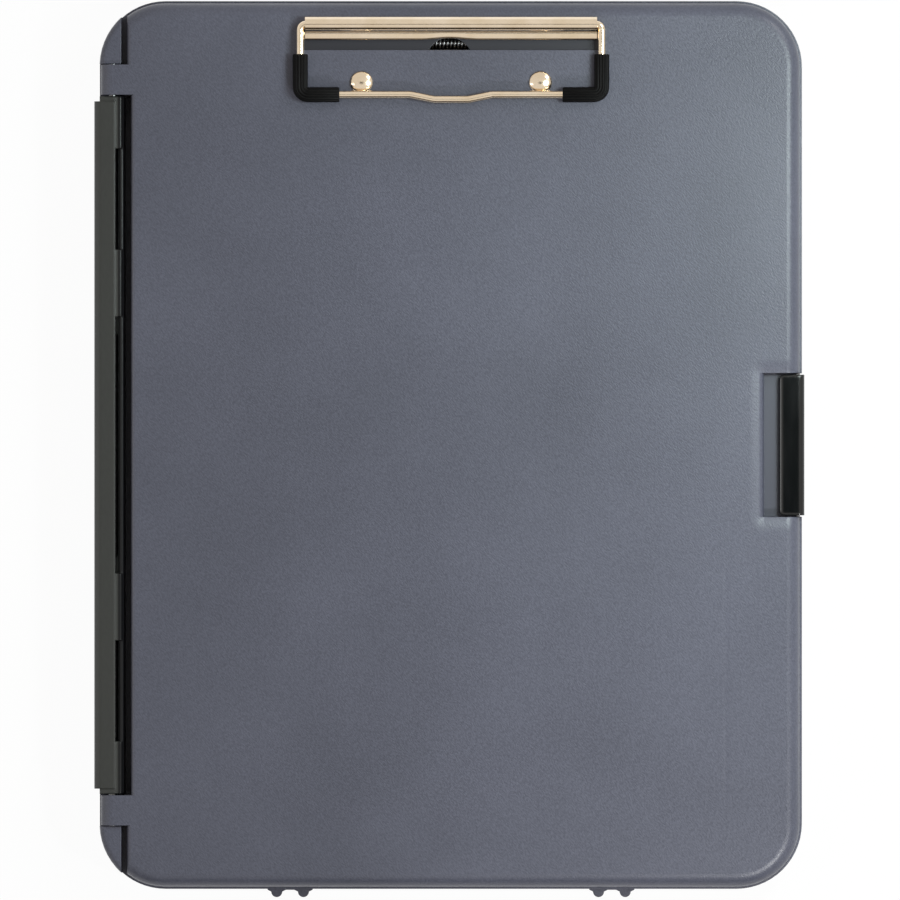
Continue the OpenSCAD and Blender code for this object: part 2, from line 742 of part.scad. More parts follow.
// Torsion spring: one tube along a helix, with a straight leg at each end
spring_rings = 8;
spring_sides = 6;
spring_steps = (spring_turns + 0.5) * spring_rings;
function spring_angle(i) = 90 + 360 * i / spring_rings;
function spring_centre(i) = [-spring_left - spring_len / 2 + spring_len * i / spring_steps,
  spring_y + spring_r * cos(spring_angle(i)), spring_z + spring_r * sin(spring_angle(i))];
spring_points = concat(
  [spring_centre(0) + [0, spring_leg, 0], spring_centre(0) + [0, spring_wire, 0]],
  [for (i = [0:spring_steps]) spring_centre(i)],
  [spring_centre(spring_steps) + [0, spring_wire, 0], spring_centre(spring_steps) + [0, spring_leg, 0]]);
spring_last = len(spring_points) - 1;
function unit(v) = v / norm(v);
function spring_heading(i) = i < 2 ? [0, -1, 0] : i > spring_last - 2 ? [0, 1, 0] :
  unit(spring_points[i + 1] - spring_points[i - 1]);
function spring_side(i) = i < 2 ? [0, 0, 1] : i > spring_last - 2 ? [0, 0, -1] :
  unit([0, cos(spring_angle(i - 2)), sin(spring_angle(i - 2))]);
function spring_ring(i) = let (n = spring_side(i), b = cross(spring_heading(i), n))
  [for (k = [0:spring_sides - 1]) spring_points[i]
    + spring_wire / 2 * (cos(360 * k / spring_sides) * n + sin(360 * k / spring_sides) * b)];
// least gap between turns, measured between the points of neighbouring turns
spring_gap = min([for (i = [2:spring_last - 2 - spring_rings], k = [spring_rings - 1:spring_rings + 1])
  if (i + k <= spring_last - 2) norm(spring_points[i + k] - spring_points[i])]) - spring_wire;
echo(spring_gap = spring_gap);

module clip_spring() {
  ring_points = [for (i = [0:spring_last]) each spring_ring(i)];
  tube_faces = [for (i = [0:spring_last - 1], k = [0:spring_sides - 1])
    let (a = i * spring_sides + k, b = i * spring_sides + (k + 1) % spring_sides)
    each [[a, a + spring_sides, b], [b, a + spring_sides, b + spring_sides]]];
  start_faces = [for (k = [1:spring_sides - 2]) [0, k, k + 1]];
  last = spring_last * spring_sides;
  end_faces = [for (k = [1:spring_sides - 2]) [last, last + k + 1, last + k]];
  color("#b9bcc0") polyhedron(ring_points, concat(tube_faces, start_faces, end_faces));
}

// Round wire through a row of straights and bends, from the origin along +X.
// Each step holds the straight's length, the turn after it and that bend's radius.
module wire_run(steps, r, i = 0) {
  long = steps[i][0];
  turn = abs(steps[i][1]);
  reach = steps[i][2];
  flip = [0, steps[i][1] < 0 ? 1 : 0, 0];
  // a straight is a hair thinner than a bend and laps into it
  from = i == 0 ? 0 : -bend_lap;
  to = turn > 0 ? long + bend_lap : long;
  translate([from, 0, 0]) rotate([0, 90, 0]) cylinder(h = to - from, r = r - bend_step);
  if (turn > 0) translate([long, 0, 0]) mirror(flip) {
    translate([0, reach, 0]) rotate(-90) rotate_extrude(angle = turn)
      translate([reach, 0]) circle(r);
    if (i < len(steps) - 1)
      translate([reach * sin(turn), reach * (1 - cos(turn)), 0]) rotate(turn) mirror(flip)
        wire_run(steps, r, i + 1);
  }
}

// Bent wire bail: two ends in the roll, two arms and a long run with a dip in its middle
module clip_bail() {
  slope = atan2(dip, dip_slope);
  cut = dip_bend_r * tan(slope / 2);
  half = [
    [dip_flat - cut, slope, dip_bend_r],
    [norm([dip, dip_slope]) - 2 * cut, -slope, dip_bend_r],
    [bail_x - dip_flat - dip_slope - cut - bend_r, 90, bend_r],
    [bail_reach - 2 * bend_r, 90, bend_r],
    [bail_x - bend_r - clip_w / 2 + axle_in, 0, 0]];
  color("#cbb799") for (side = [-1, 1]) mirror([side < 0 ? 1 : 0, 0, 0])
    translate([0, bail_y - dip, roll_z]) wire_run(half, wire_r);
}

// Section of a sleeve: a ring with fine grooves along its length
module sleeve_section() {
  difference() {
    circle(sleeve_d / 2);
    for (k = [0:sleeve_grooves - 1]) rotate(360 * (k + 0.5) / sleeve_grooves)
      translate([sleeve_d / 2 + lap, 0]) circle(groove_r, $fn = 16);
  }
}

// Vinyl sleeve over a corner of the bail
module sleeve(side) {
  color("#17191b") mirror([side < 0 ? 1 : 0, 0, 0]) difference() {
    union() {
      translate([bail_x, bail_y + sleeve_arm, roll_z]) rotate([90, 0, 0])
        linear_extrude(sleeve_arm) sleeve_section();
      translate([bail_x - sleeve_run, bail_y, roll_z]) rotate([0, 90, 0])
        linear_extrude(sleeve_run) sleeve_section();
      translate([bail_x, bail_y, roll_z]) sphere(sleeve_d / 2);
    }
    translate([bail_x - sleeve_run - over, bail_y, roll_z])
      wire_run([[sleeve_run + over - bend_r, 90, bend_r], [sleeve_arm + over - bend_r, 0, 0]],
        wire_r + sleeve_play);
  }
}

module sleeve_left() {
  sleeve(-1);
}

module sleeve_right() {
  sleeve(1);
}

base_tray();
hinge_cover();
hinge_rod();
latch();
latch_pin();
lid();
clip_base();
rivet_left();
rivet_right();
spring_pin();
clip_spring();
clip_bail();
sleeve_left();
sleeve_right();
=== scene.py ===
import math
import bpy
import bmesh
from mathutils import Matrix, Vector


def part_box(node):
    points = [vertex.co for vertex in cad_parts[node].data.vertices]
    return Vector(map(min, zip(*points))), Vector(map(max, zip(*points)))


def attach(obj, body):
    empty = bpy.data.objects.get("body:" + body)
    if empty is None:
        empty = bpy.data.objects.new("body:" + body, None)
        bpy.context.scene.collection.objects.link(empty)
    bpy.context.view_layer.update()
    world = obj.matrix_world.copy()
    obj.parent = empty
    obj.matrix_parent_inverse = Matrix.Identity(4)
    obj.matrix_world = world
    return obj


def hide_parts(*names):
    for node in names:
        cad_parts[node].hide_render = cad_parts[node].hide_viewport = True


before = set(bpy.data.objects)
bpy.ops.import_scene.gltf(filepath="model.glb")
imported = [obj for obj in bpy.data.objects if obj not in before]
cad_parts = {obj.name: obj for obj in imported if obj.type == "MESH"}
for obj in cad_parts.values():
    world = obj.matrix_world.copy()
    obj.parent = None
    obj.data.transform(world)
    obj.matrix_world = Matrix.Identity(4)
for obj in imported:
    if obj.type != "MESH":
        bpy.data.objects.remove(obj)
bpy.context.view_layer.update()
mm = 0.001  # sizes below are in millimetres


# small helpers

def linearHex(text):  # sRGB hex to the linear colour a shader wants
    values = [int(text[i:i + 2], 16) / 255 for i in (0, 2, 4)]
    return tuple(v / 12.92 if v <= 0.04045 else ((v + 0.055) / 1.055) ** 2.4 for v in values) + (1,)


def addNode(tree, kind, links=None, inputs=None, out=0, **settings):  # one node with its settings and links
    node = tree.nodes.new(kind)
    for key, value in settings.items():
        setattr(node, key, value)
    for key, value in (inputs or {}).items():
        node.inputs[key].default_value = value
    for key, source in (links or {}).items():
        tree.links.new(source, node.inputs[key])
    return node.outputs[out]


def shaderTree(name, **sockets):  # a material, its tree, its Principled node and the place on the piece
    material = bpy.data.materials.new(name)
    material.use_nodes = True
    tree = material.node_tree
    shader = tree.nodes["Principled BSDF"]
    for key, value in sockets.items():
        shader.inputs[key].default_value = value
    return material, tree, shader, addNode(tree, "ShaderNodeTexCoord", out="Object")


def twoTones(tree, factor, dark, light, low=0.3, high=0.7):  # blends two hex colours as the factor climbs
    share = addNode(tree, "ShaderNodeMapRange", {"Value": factor}, {"From Min": low, "From Max": high})
    return addNode(tree, "ShaderNodeMix", {0: share}, {6: linearHex(dark), 7: linearHex(light)},
                   out=2, data_type="RGBA")


def connect(tree, shader, **sources):  # socket names with _ for a space
    for key, source in sources.items():
        tree.links.new(source, shader.inputs[key.replace("_", " ")])


def bevelledBump(tree, height, settings, strength, distance):  # relief over softly broken edges
    brokenEdge = addNode(tree, "ShaderNodeBevel", None, {"Radius": settings["edgeRadius"] * mm}, samples=8)
    return addNode(tree, "ShaderNodeBump", {"Height": height, "Normal": brokenEdge},
                   {"Strength": strength, "Distance": distance})


# charcoal box and lid: moulded polypropylene with a spark-eroded grain, which looks satin and faintly leathery.
# Such a grain is usually some 0.2 mm, finer than a pixel here, so it is drawn at 0.45 mm to show.

charcoalBox = {
    "dark": "4e505d", "light": "585a68",
    "cloud": 70,                                # width of the broad tone changes
    "roughness": 0.36, "duller": 0.06, "glossier": 0.05,
    "grain": 0.45, "grainDepth": 0.07,          # width and depth of a grain
    "grainTurn": 48, "grainStretch": 0.45,      # degrees, the lay of the grain, and how long it is drawn
    "grainTone": 0.15,                          # how much a grain is lighter or darker
    "waveWidth": 95, "waveDepth": 0.35,         # how far the panel swells and sinks over one wave
    "sinkWidth": 1.6, "sinkDepth": 0.035, "sinkFade": 4,  # faint sink lines over the ribs
    "edgeRadius": 0.4,
    "floorsBelow": 27.2,                        # the clip's well and the finger recess have their floors lower
    "wellMiddle": 156.0, "wellHalfDepth": 8.0, "wellHalfWidth": 58.0,
    "recessLeft": 119.5, "recessHalf": 27.2,
    "brinkWidth": 6.0, "brinkDepth": 0.8, "brinkCurve": 2.0,  # the recess's brink is rolled over softly
    "wellPaintedShade": 0.28, "recessPaintedShade": 0.62,     # painted shade on the two floors: their colour as a share of the panel's
    "polishedBelow": 0.8,                       # a floor darkened by painted shade below this share has no grain
}

lidRibs = [{"across": "X", "along": "Y", "place": 104.8, "reach": (-137.2, -45.7)},
           {"across": "Y", "along": "X", "place": -104.2, "reach": (-111, 99)},
           {"across": "Y", "along": "X", "place": -158.5, "reach": (-68.5, -54.5)},
           {"across": "Y", "along": "X", "place": -158.5, "reach": (54.5, 68.5)}]


def sinkLine(tree, split, rib, settings):  # 1 on a line over a rib, 0 beside it
    away = addNode(tree, "ShaderNodeMath", {0: split.outputs[rib["across"]]}, {1: -rib["place"] * mm},
                   operation="ADD")
    away = addNode(tree, "ShaderNodeMath", {0: away}, operation="ABSOLUTE")
    line = addNode(tree, "ShaderNodeMapRange", {"Value": away},
                   {"From Min": 0.0, "From Max": settings["sinkWidth"] * mm, "To Min": 1.0, "To Max": 0.0},
                   interpolation_type="SMOOTHSTEP")
    start, end = rib["reach"]
    half = (end - start) / 2
    past = addNode(tree, "ShaderNodeMath", {0: split.outputs[rib["along"]]}, {1: -(start + end) / 2 * mm},
                   operation="ADD")
    past = addNode(tree, "ShaderNodeMath", {0: past}, operation="ABSOLUTE")
    within = addNode(tree, "ShaderNodeMapRange", {"Value": past},
                     {"From Min": (half - settings["sinkFade"]) * mm, "From Max": half * mm,
                      "To Min": 1.0, "To Max": 0.0})
    return addNode(tree, "ShaderNodeMath", {0: line, 1: within}, operation="MULTIPLY")


def recessReach(tree, split, settings):  # distance from the finger recess, 0 inside it
    left = addNode(tree, "ShaderNodeMath", {1: split.outputs["X"]}, {0: settings["recessLeft"] * mm},
                   operation="SUBTRACT")
    left = addNode(tree, "ShaderNodeMath", {0: left}, {1: 0.0}, operation="MAXIMUM")
    beyond = addNode(tree, "ShaderNodeMath", {0: split.outputs["Y"]}, operation="ABSOLUTE")
    beyond = addNode(tree, "ShaderNodeMath", {0: beyond}, {1: settings["recessHalf"] * mm},
                     operation="SUBTRACT")
    beyond = addNode(tree, "ShaderNodeMath", {0: beyond}, {1: 0.0}, operation="MAXIMUM")
    away = addNode(tree, "ShaderNodeCombineXYZ", {"X": left, "Y": beyond})
    return addNode(tree, "ShaderNodeVectorMath", {0: away}, out="Value", operation="LENGTH")


def paintedFloorShade(tree, split, reach, settings):  # painted shade: colour shares that darken the well and recess floors, 1 on the panel
    low = addNode(tree, "ShaderNodeMath", {0: split.outputs["Z"]}, {1: settings["floorsBelow"] * mm},
                  operation="LESS_THAN")
    deep = addNode(tree, "ShaderNodeMath", {0: split.outputs["Y"]},
                   {1: settings["wellMiddle"] * mm, 2: settings["wellHalfDepth"] * mm}, operation="COMPARE")
    wide = addNode(tree, "ShaderNodeMath", {0: split.outputs["X"]},
                   {1: 0.0, 2: settings["wellHalfWidth"] * mm}, operation="COMPARE")
    well = addNode(tree, "ShaderNodeMath", {0: wide, 1: deep}, operation="MULTIPLY")
    well = addNode(tree, "ShaderNodeMath", {0: low, 1: well}, operation="MULTIPLY")
    wellShadeShare = addNode(tree, "ShaderNodeMapRange", {"Value": well},
                       {"To Min": 1.0, "To Max": settings["wellPaintedShade"]})
    inside = addNode(tree, "ShaderNodeMath", {0: reach}, {1: 0.1 * mm}, operation="LESS_THAN")
    inside = addNode(tree, "ShaderNodeMath", {0: inside, 1: low}, operation="MULTIPLY")
    recessShadeShare = addNode(tree, "ShaderNodeMapRange", {"Value": inside},
                         {"To Min": 1.0, "To Max": settings["recessPaintedShade"]})
    return addNode(tree, "ShaderNodeMath", {0: wellShadeShare, 1: recessShadeShare}, operation="MULTIPLY")


def grainedPolypropylene(name, settings, ribs):
    material, tree, shader, place = shaderTree(name, **{"IOR": 1.49})
    turned = addNode(tree, "ShaderNodeMapping", {"Vector": place},
                     {"Rotation": (0, 0, math.radians(settings["grainTurn"]))})
    turned = addNode(tree, "ShaderNodeMapping", {"Vector": turned},
                     {"Scale": (settings["grainStretch"], 1, 1)})
    grain = addNode(tree, "ShaderNodeTexNoise", {"Vector": turned},
                    {"Scale": 1 / (settings["grain"] * mm), "Detail": 1.0, "Roughness": 0.5})
    cloud = addNode(tree, "ShaderNodeTexNoise", {"Vector": place},
                    {"Scale": 1 / (settings["cloud"] * mm), "Detail": 3.0})
    wave = addNode(tree, "ShaderNodeTexNoise", {"Vector": place},
                   {"Scale": 1 / (settings["waveWidth"] * mm), "Detail": 2.0, "Roughness": 0.45})
    speckle = addNode(tree, "ShaderNodeMapRange", {"Value": grain},
                      {"From Min": 0.3, "From Max": 0.7,
                       "To Min": -settings["grainTone"], "To Max": settings["grainTone"]})
    gloss = addNode(tree, "ShaderNodeMapRange", {"Value": grain},
                    {"From Min": 0.3, "From Max": 0.7,
                     "To Min": -settings["glossier"], "To Max": settings["duller"]})
    height = addNode(tree, "ShaderNodeMath", {0: wave}, {1: settings["waveDepth"] * mm}, operation="MULTIPLY")
    fine = addNode(tree, "ShaderNodeMath", {0: grain}, {1: settings["grainDepth"] * mm}, operation="MULTIPLY")
    tone = twoTones(tree, cloud, settings["dark"], settings["light"])
    if ribs:  # the lid: painted shade on the sunk floors, the recess's brink and the sink lines
        split = addNode(tree, "ShaderNodeSeparateXYZ", {0: place}).node
        reach = recessReach(tree, split, settings)
        share = paintedFloorShade(tree, split, reach, settings)
        # painted shade: the well and recess floors are darkened in the colour itself
        tone = addNode(tree, "ShaderNodeVectorMath", {0: tone, "Scale": share}, operation="SCALE")
        grained = addNode(tree, "ShaderNodeMapRange", {"Value": share},
                          {"From Min": settings["polishedBelow"], "From Max": 1.0})
        speckle, gloss, fine = (addNode(tree, "ShaderNodeMath", {0: part, 1: grained}, operation="MULTIPLY")
                                for part in (speckle, gloss, fine))
        near = addNode(tree, "ShaderNodeMapRange", {"Value": reach},
                       {"From Min": 0.0, "From Max": settings["brinkWidth"] * mm,
                        "To Min": 1.0, "To Max": 0.0})
        near = addNode(tree, "ShaderNodeMath", {0: near}, {1: settings["brinkCurve"]}, operation="POWER")
        dips = [(near, settings["brinkDepth"])]
        dips += [(sinkLine(tree, split, rib, settings), settings["sinkDepth"]) for rib in ribs]
        for dip, depth in dips:
            sunk = addNode(tree, "ShaderNodeMath", {0: dip}, {1: -depth * mm}, operation="MULTIPLY")
            height = addNode(tree, "ShaderNodeMath", {0: height, 1: sunk}, operation="ADD")
    speckle = addNode(tree, "ShaderNodeMath", {0: speckle}, {1: 1.0}, operation="ADD")
    gloss = addNode(tree, "ShaderNodeMath", {0: gloss}, {1: settings["roughness"]}, operation="ADD")
    height = addNode(tree, "ShaderNodeMath", {0: height, 1: fine}, operation="ADD")
    relief = bevelledBump(tree, height, settings, 1.0, 1.0)
    tone = addNode(tree, "ShaderNodeVectorMath", {0: tone, "Scale": speckle}, operation="SCALE")
    connect(tree, shader, Base_Color=tone, Roughness=gloss, Normal=relief)
    return material


# hinge cover: moulded black polypropylene, which gives a dull dark flange outside and a deeper black inside;
# the deeper black and weaker sheen inside are partly its polished finish and partly painted shade in the hollow
# beside the lid

hingeCover = {"outer": "2e302e", "inner": "151517", "outerRough": 0.42, "innerRough": 0.3,
              "outerSheen": 0.5, "innerSheen": 0.22,
              "change": -127.2, "changeWidth": 0.6,    # X where the flange ends
              "grain": 0.8, "stretch": 0.35, "depth": 0.006, "speckle": 0.2, "edgeRadius": 1.1}


def texturedPolypropylene(settings):
    material, tree, shader, place = shaderTree("moulded black polypropylene", **{"IOR": 1.49})
    across = addNode(tree, "ShaderNodeSeparateXYZ", {0: place})
    inner = addNode(tree, "ShaderNodeMapRange", {"Value": across},
                    {"From Min": settings["change"] * mm,
                     "From Max": (settings["change"] + settings["changeWidth"]) * mm})
    drawn = addNode(tree, "ShaderNodeMapping", {"Vector": place}, {"Scale": (1, settings["stretch"], 1)})
    grain = addNode(tree, "ShaderNodeTexNoise", {"Vector": drawn},
                    {"Scale": 1 / (settings["grain"] * mm), "Detail": 3.0})
    # partly painted shade: past the flange the hollow beside the lid gets the darker colour
    tone = twoTones(tree, inner, settings["outer"], settings["inner"], 0.0, 1.0)
    speckle = addNode(tree, "ShaderNodeMapRange", {"Value": grain},
                      {"To Min": 1 - settings["speckle"], "To Max": 1 + settings["speckle"]})
    tone = addNode(tree, "ShaderNodeVectorMath", {0: tone, "Scale": speckle}, operation="SCALE")
    # partly painted shade: the hollow's lower specular level dims its reflections
    sheen = addNode(tree, "ShaderNodeMapRange", {"Value": inner},
                    {"To Min": settings["outerSheen"], "To Max": settings["innerSheen"]})
    gloss = addNode(tree, "ShaderNodeMapRange", {"Value": inner},
                    {"To Min": settings["outerRough"], "To Max": settings["innerRough"]})
    relief = bevelledBump(tree, grain, settings, 0.6, settings["depth"] * mm)
    connect(tree, shader, Base_Color=tone, Roughness=gloss, Normal=relief, Specular_IOR_Level=sheen)
    return material


# latch: moulded ABS from a polished tool, which gives a wet black with sharp highlights

latchFinish = {"dark": "0b0d0e", "light": "0f1112", "roughness": 0.1, "spread": (0.6, 1.8),
               "flow": 6, "stretch": 0.2, "depth": 0.01, "edgeRadius": 1.6}


def polishedPlastic(settings):
    material, tree, shader, place = shaderTree("polished black ABS", **{"IOR": 1.53})
    drawn = addNode(tree, "ShaderNodeMapping", {"Vector": place}, {"Scale": (1, settings["stretch"], 1)})
    flow = addNode(tree, "ShaderNodeTexNoise", {"Vector": drawn},
                   {"Scale": 1 / (settings["flow"] * mm), "Detail": 4.0})
    tone = twoTones(tree, flow, settings["dark"], settings["light"])
    least, most = (settings["roughness"] * share for share in settings["spread"])
    gloss = addNode(tree, "ShaderNodeMapRange", {"Value": flow}, {"To Min": least, "To Max": most})
    relief = bevelledBump(tree, flow, settings, 0.5, settings["depth"] * mm)
    connect(tree, shader, Base_Color=tone, Roughness=gloss, Normal=relief)
    return material


# clip: nickel plated sheet and wire, which gives a warm mirror with faint drawing lines.
# pins and spring: bare drawn steel, grey and duller.

nickelSheet = {"dark": "efdcbf", "light": "fbebd4", "roughness": 0.15, "spread": (0.7, 1.4),
               "lines": 0.7, "stretch": 0.08, "depth": 0.0012, "spots": 9}
steelWire = dict(nickelSheet, dark="6f6f70", light="8c8c8e", roughness=0.28, lines=0.6, spots=3)


def drawnSteel(name, settings):
    material, tree, shader, place = shaderTree(name, **{"Metallic": 1.0})
    drawn = addNode(tree, "ShaderNodeMapping", {"Vector": place}, {"Scale": (settings["stretch"], 1, 1)})
    lines = addNode(tree, "ShaderNodeTexNoise", {"Vector": drawn},
                    {"Scale": 1 / (settings["lines"] * mm), "Detail": 3.0})
    spots = addNode(tree, "ShaderNodeTexNoise", {"Vector": place},
                    {"Scale": 1 / (settings["spots"] * mm), "Detail": 4.0})
    tone = twoTones(tree, spots, settings["dark"], settings["light"])
    least, most = (settings["roughness"] * share for share in settings["spread"])
    gloss = addNode(tree, "ShaderNodeMapRange", {"Value": lines}, {"To Min": least, "To Max": most})
    relief = addNode(tree, "ShaderNodeBump", {"Height": lines},
                     {"Strength": 0.1, "Distance": settings["depth"] * mm})
    connect(tree, shader, Base_Color=tone, Roughness=gloss, Normal=relief)
    return material


# sleeves: extruded PVC, which gives a soft half dull black, with a little dust in its grooves

sleeveVinyl = {"dark": "030304", "light": "0b0b0b", "roughness": 0.42, "spread": (0.8, 1.4),
               "dust": 0.9, "depth": 0.04}


def extrudedVinyl(settings):
    material, tree, shader, place = shaderTree("extruded PVC sleeve",
                                               **{"IOR": 1.5, "Specular IOR Level": 0.12})
    dust = addNode(tree, "ShaderNodeTexNoise", {"Vector": place},
                   {"Scale": 1 / (settings["dust"] * mm), "Detail": 5.0})
    tone = twoTones(tree, dust, settings["dark"], settings["light"], 0.4, 0.8)
    least, most = (settings["roughness"] * share for share in settings["spread"])
    gloss = addNode(tree, "ShaderNodeMapRange", {"Value": dust}, {"To Min": least, "To Max": most})
    relief = addNode(tree, "ShaderNodeBump", {"Height": dust},
                     {"Strength": 0.4, "Distance": settings["depth"] * mm})
    connect(tree, shader, Base_Color=tone, Roughness=gloss, Normal=relief)
    return material


lidPlastic = grainedPolypropylene("grained polypropylene lid", charcoalBox, lidRibs)
trayPlastic = grainedPolypropylene("grained polypropylene tray", charcoalBox, [])
coverPlastic = texturedPolypropylene(hingeCover)
latchPlastic = polishedPlastic(latchFinish)
nickel = drawnSteel("nickel plated steel", nickelSheet)
springSteel = drawnSteel("drawn spring steel", steelWire)
vinyl = extrudedVinyl(sleeveVinyl)
print("finishes ready")


# floor, room, lamps and camera

studio = {
    "floorSize": 60.0, "floorDrop": 0.0002,  # metres
    "paperDark": "eeeeee", "paperLight": "f6f6f6", "paperGrain": 40.0,
    "whiteShare": 0.96,                      # how far camera and gloss see the floor as plain white
    "roomFront": "30241a", "roomBack": "fffaf4",
    "frontUntil": -0.84, "backFrom": -0.64,  # the change between them, on the world's Y
    "zenith": "0c0c0e",                      # a dark patch straight overhead, narrower front to back
    "zenithFull": 0.12, "zenithGone": 0.18, "zenithSquash": 2.2,
    "horizonFull": 0.03, "horizonGone": 0.2,  # near the horizon camera and gloss see white
    "roomStrength": 0.34, "roomShown": 0.74,  # what lights the box, and what camera and gloss see
    "lamps": [  # name, place, target, size, watts and tint
        ("windowRight", (0.75, 0.75, 0.8), (0, 0, 0), (0.3, 0.5), 3.4, "ffffff"),
        ("panelHigh", (0.27, 0.13, 0.45), (0.16, 0.1, 0), (0.1, 0.2), 1.55, "ecfcfa"),
        ("stripLeft", (-0.9, 0.0, 0.5), (0.1, 0, 0), (0.12, 0.9), 0.8, "ffffff"),
        ("kickFront", (0.25, -0.3, 0.45), (0, 0.1, 0), (0.05, 0.05), 1.2, "ffffff")],
}


def seenRays(tree):  # 1 for camera, glossy and transmission rays
    path = addNode(tree, "ShaderNodeLightPath").node
    most = addNode(tree, "ShaderNodeMath",
                   {0: path.outputs["Is Camera Ray"], 1: path.outputs["Is Glossy Ray"]}, operation="MAXIMUM")
    return addNode(tree, "ShaderNodeMath", {0: most, 1: path.outputs["Is Transmission Ray"]},
                   operation="MAXIMUM")


def paleFloor():  # keeps the shadow, and shows white to camera and gloss
    half = studio["floorSize"] / 2
    height = -studio["floorDrop"]
    corners = [(-half, -half, height), (half, -half, height), (half, half, height), (-half, half, height)]
    mesh = bpy.data.meshes.new("studioFloor")
    mesh.from_pydata(corners, [], [(0, 1, 2, 3)])
    floor = bpy.data.objects.new("studioFloor", mesh)
    bpy.context.collection.objects.link(floor)
    material, tree, shader, place = shaderTree("pale paper floor", **{"Roughness": 0.9})
    paper = addNode(tree, "ShaderNodeTexNoise", {"Vector": place},
                    {"Scale": studio["paperGrain"], "Detail": 3.0})
    connect(tree, shader, Base_Color=twoTones(tree, paper, studio["paperDark"], studio["paperLight"]))
    share = addNode(tree, "ShaderNodeMath", {0: seenRays(tree)}, {1: studio["whiteShare"]},
                    operation="MULTIPLY")
    white = addNode(tree, "ShaderNodeEmission", None, {"Color": (1, 1, 1, 1), "Strength": 1.0})
    mix = addNode(tree, "ShaderNodeMixShader", {0: share, 1: shader.outputs[0], 2: white})
    tree.links.new(mix, tree.nodes["Material Output"].inputs["Surface"])
    mesh.materials.append(material)


def softRoom():  # a pale room: bright behind the clip, warm and dim in front, dark straight above
    world = bpy.data.worlds.new("softRoom")
    world.use_nodes = True
    tree = world.node_tree
    way = addNode(tree, "ShaderNodeTexCoord", out="Generated")
    split = addNode(tree, "ShaderNodeSeparateXYZ", {0: way}).node
    back = addNode(tree, "ShaderNodeMapRange", {"Value": split.outputs["Y"]},
                   {"From Min": studio["frontUntil"], "From Max": studio["backFrom"]})
    walls = twoTones(tree, back, studio["roomFront"], studio["roomBack"], 0.0, 1.0)
    narrow = addNode(tree, "ShaderNodeMath", {0: split.outputs["Y"]}, {1: studio["zenithSquash"]},
                     operation="MULTIPLY")
    spot = addNode(tree, "ShaderNodeCombineXYZ", {"X": split.outputs["X"], "Y": narrow})
    spot = addNode(tree, "ShaderNodeVectorMath", {0: spot}, out="Value", operation="LENGTH")
    patch = addNode(tree, "ShaderNodeMapRange", {"Value": spot},
                    {"From Min": studio["zenithFull"], "From Max": studio["zenithGone"],
                     "To Min": 1.0, "To Max": 0.0})
    upper = addNode(tree, "ShaderNodeMath", {0: split.outputs["Z"]}, {1: 0.0}, operation="GREATER_THAN")
    patch = addNode(tree, "ShaderNodeMath", {0: patch, 1: upper}, operation="MULTIPLY")
    roof = addNode(tree, "ShaderNodeMix", {0: patch, 6: walls}, {7: linearHex(studio["zenith"])},
                   out=2, data_type="RGBA")
    low = addNode(tree, "ShaderNodeMapRange", {"Value": split.outputs["Z"]},
                  {"From Min": studio["horizonFull"], "From Max": studio["horizonGone"],
                   "To Min": 1.0, "To Max": 0.0})
    seen = addNode(tree, "ShaderNodeMath", {0: low, 1: seenRays(tree)}, operation="MULTIPLY")
    colour = addNode(tree, "ShaderNodeMix", {0: seen, 6: roof}, {7: (1, 1, 1, 1)}, out=2, data_type="RGBA")
    plain = addNode(tree, "ShaderNodeMapRange", {"Value": seenRays(tree)},
                    {"To Min": studio["roomStrength"], "To Max": studio["roomShown"]})
    power = addNode(tree, "ShaderNodeMapRange", {"Value": seen, "To Min": plain}, {"To Max": 1.0})
    connect(tree, tree.nodes["Background"], Color=colour, Strength=power)
    bpy.context.scene.world = world


def softLamp(name, place, target, size, power, tint):
    lamp = bpy.data.lights.new(name, "AREA")
    lamp.shape = "RECTANGLE"
    lamp.size, lamp.size_y = size
    lamp.energy = power
    lamp.color = linearHex(tint)[:3]
    obj = bpy.data.objects.new(name, lamp)
    bpy.context.collection.objects.link(obj)
    obj.location = place
    obj.rotation_mode = "QUATERNION"
    obj.rotation_quaternion = (Vector(target) - Vector(place)).to_track_quat("-Z", "Y")
    obj.visible_camera = False


camera = {"distance": 5000, "mmPerPixel": 0.381, "framePixels": 900, "originPixel": (451, 445), "sensor": 36}


def lookDown(settings):  # the photograph looks straight down from far off
    data = bpy.data.cameras.new("topCamera")
    data.sensor_width = settings["sensor"]
    data.lens = settings["sensor"] * settings["distance"] / (settings["framePixels"] * settings["mmPerPixel"])
    data.clip_end = 100
    obj = bpy.data.objects.new("topCamera", data)
    bpy.context.collection.objects.link(obj)
    middle = settings["framePixels"] / 2
    x = (middle - settings["originPixel"][0]) * settings["mmPerPixel"]
    y = (settings["originPixel"][1] - middle) * settings["mmPerPixel"]
    obj.location = (x * mm, y * mm, settings["distance"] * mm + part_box("lid")[1][2])
    bpy.context.scene.camera = obj


paleFloor()
softRoom()
for lamp in studio["lamps"]:
    softLamp(*lamp)
lookDown(camera)
bpy.context.scene.view_settings.view_transform = "Standard"
print("stage ready")


# Geometry Nodes: a tree is built by a function, run once on a base mesh and baked to a plain mesh

def nodeGroup(name, sizes):  # an empty tree with its geometry sockets and named inputs
    tree = bpy.data.node_groups.new(name, "GeometryNodeTree")
    tree.interface.new_socket("Geometry", in_out="INPUT", socket_type="NodeSocketGeometry")
    tree.interface.new_socket("Geometry", in_out="OUTPUT", socket_type="NodeSocketGeometry")
    for label, kind in sizes.items():
        tree.interface.new_socket(label, in_out="INPUT", socket_type=kind)
    entry = tree.nodes.new("NodeGroupInput")
    tree.nodes.new("NodeGroupOutput")
    return tree, entry


def closeTree(tree, geometry, finish):  # realise, give the finish, hand out
    whole = addNode(tree, "GeometryNodeRealizeInstances", {0: geometry})
    dressed = addNode(tree, "GeometryNodeSetMaterial", {"Geometry": whole}, {"Material": finish})
    tree.links.new(dressed, tree.nodes["Group Output"].inputs[0])


